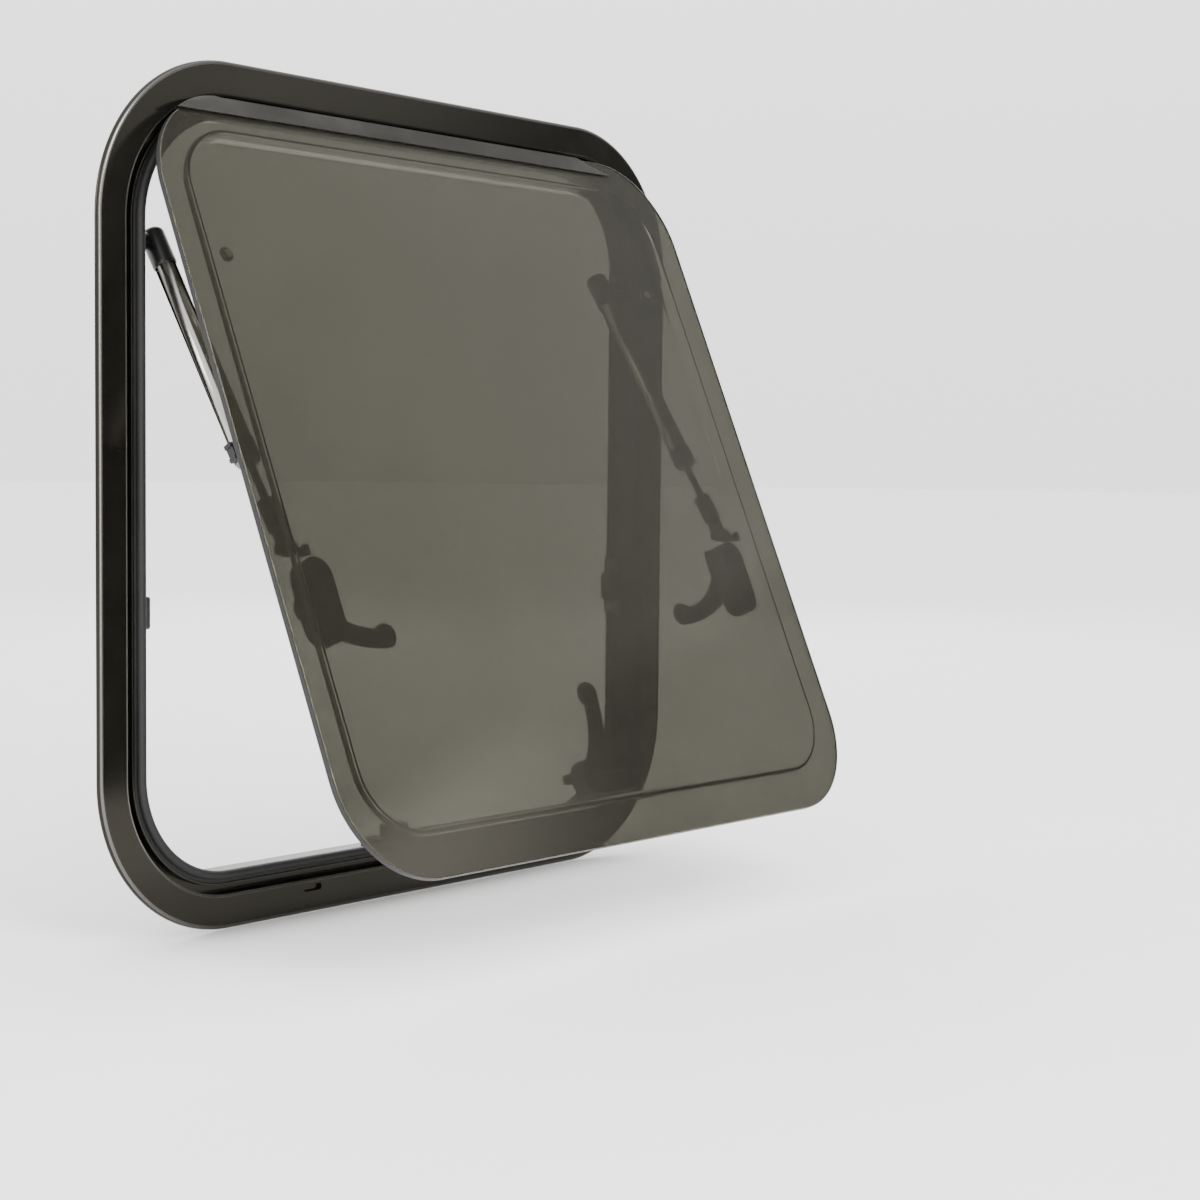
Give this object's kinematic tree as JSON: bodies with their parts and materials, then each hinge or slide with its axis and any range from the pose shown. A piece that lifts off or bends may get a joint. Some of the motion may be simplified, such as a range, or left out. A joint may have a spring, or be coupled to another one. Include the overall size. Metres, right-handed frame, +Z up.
{
  "type": "caravan window",
  "caption": "Top-hung caravan window: rounded aluminium flange frame, smoked double acrylic sash held open on telescopic stays, with lever catches.",
  "frame": {"origin": "back face of the lower flange, half way along it and 10 mm above its lower edge", "axes": "+X to the right seen from outside, +Y into the vehicle, +Z up"},
  "size_m": [0.55, 0.23, 0.55],
  "materials": {
    "frame_aluminium": "satin, dark anodised",
    "rail_aluminium": "satin",
    "strip_aluminium": "brushed",
    "seal_rubber": "matte",
    "smoked_acrylic": "clear, smoked",
    "black_plastic": "fine grain",
    "grey_plastic": "fine grain",
    "black_metal": "satin",
    "tube_chrome": "polished",
    "rod_steel": "drawn"
  },
  "bodies": {
    "frame": {"outer_frame": "frame_aluminium", "weather_seal": "seal_rubber", "hinge_rail": "rail_aluminium", "striker_left": "grey_plastic", "striker_right": "grey_plastic", "striker_bottom": "grey_plastic", "stay_mount_left": "black_metal", "stay_mount_right": "black_metal"},
    "sash": {"outer_pane": "smoked_acrylic", "inner_pane": "smoked_acrylic", "hinge_strip": "strip_aluminium", "vent_plug_left": "grey_plastic", "vent_plug_right": "grey_plastic", "catch_base_left": "black_plastic", "catch_base_right": "black_plastic", "catch_base_bottom": "black_plastic", "stay_bracket_left": "black_metal", "stay_bracket_right": "black_metal"},
    "stay_tube_left": {"stay_cap_left": "black_plastic", "stay_tube_left": "tube_chrome", "stay_collar_left": "black_plastic", "stay_clip_left": "black_plastic"},
    "stay_rod_left": {"stay_rod_left": "rod_steel", "stay_fork_left": "black_metal"},
    "stay_tube_right": {"stay_cap_right": "black_plastic", "stay_tube_right": "tube_chrome", "stay_collar_right": "black_plastic", "stay_clip_right": "black_plastic"},
    "stay_rod_right": {"stay_rod_right": "rod_steel", "stay_fork_right": "black_metal"},
    "lever_left": {"lever_left": "black_plastic"},
    "lever_right": {"lever_right": "black_plastic"},
    "lever_bottom": {"lever_bottom": "black_plastic"}
  },
  "joints": [
    {"name": "sash_hinge", "type": "hinge", "parent": "frame", "child": "sash", "pos_m": [0, 0.0008, 0.5148], "axis": [-1, 0, 0], "range_deg": [-23, 12]},
    {"name": "stay_pivot_left", "type": "hinge", "parent": "frame", "child": "stay_tube_left", "pos_m": [-0.216, 0.015, 0.4248], "axis": [-1, 0, 0], "range_deg": [-31.5, 17]},
    {"name": "stay_slide_left", "type": "slide", "parent": "stay_tube_left", "child": "stay_rod_left", "axis": [0, -0.5307, -0.8476], "range_m": [-0.02, 0.012]},
    {"name": "stay_pivot_right", "type": "hinge", "parent": "frame", "child": "stay_tube_right", "pos_m": [0.216, 0.015, 0.4248], "axis": [-1, 0, 0], "range_deg": [-31.5, 17]},
    {"name": "stay_slide_right", "type": "slide", "parent": "stay_tube_right", "child": "stay_rod_right", "axis": [0, -0.5307, -0.8476], "range_m": [-0.02, 0.012]},
    {"name": "lever_left_turn", "type": "hinge", "parent": "sash", "child": "lever_left", "pos_m": [-0.207, -0.11521, 0.20337], "axis": [0, -0.9205, 0.3907], "range_deg": [0, 90]},
    {"name": "lever_right_turn", "type": "hinge", "parent": "sash", "child": "lever_right", "pos_m": [0.207, -0.11521, 0.20337], "axis": [0, 0.9205, -0.3907], "range_deg": [0, 90]},
    {"name": "lever_bottom_turn", "type": "hinge", "parent": "sash", "child": "lever_bottom", "pos_m": [0, -0.16514, 0.08573], "axis": [0, -0.9205, 0.3907], "range_deg": [0, 90]}
  ],
  "couplings": [
    {"joint": "stay_pivot_left", "follows": "sash_hinge", "ratio": 1.36},
    {"joint": "stay_slide_left", "follows": "sash_hinge", "m_per_rad": 0.047},
    {"joint": "stay_pivot_right", "follows": "sash_hinge", "ratio": 1.36},
    {"joint": "stay_slide_right", "follows": "sash_hinge", "m_per_rad": 0.047}
  ]
}
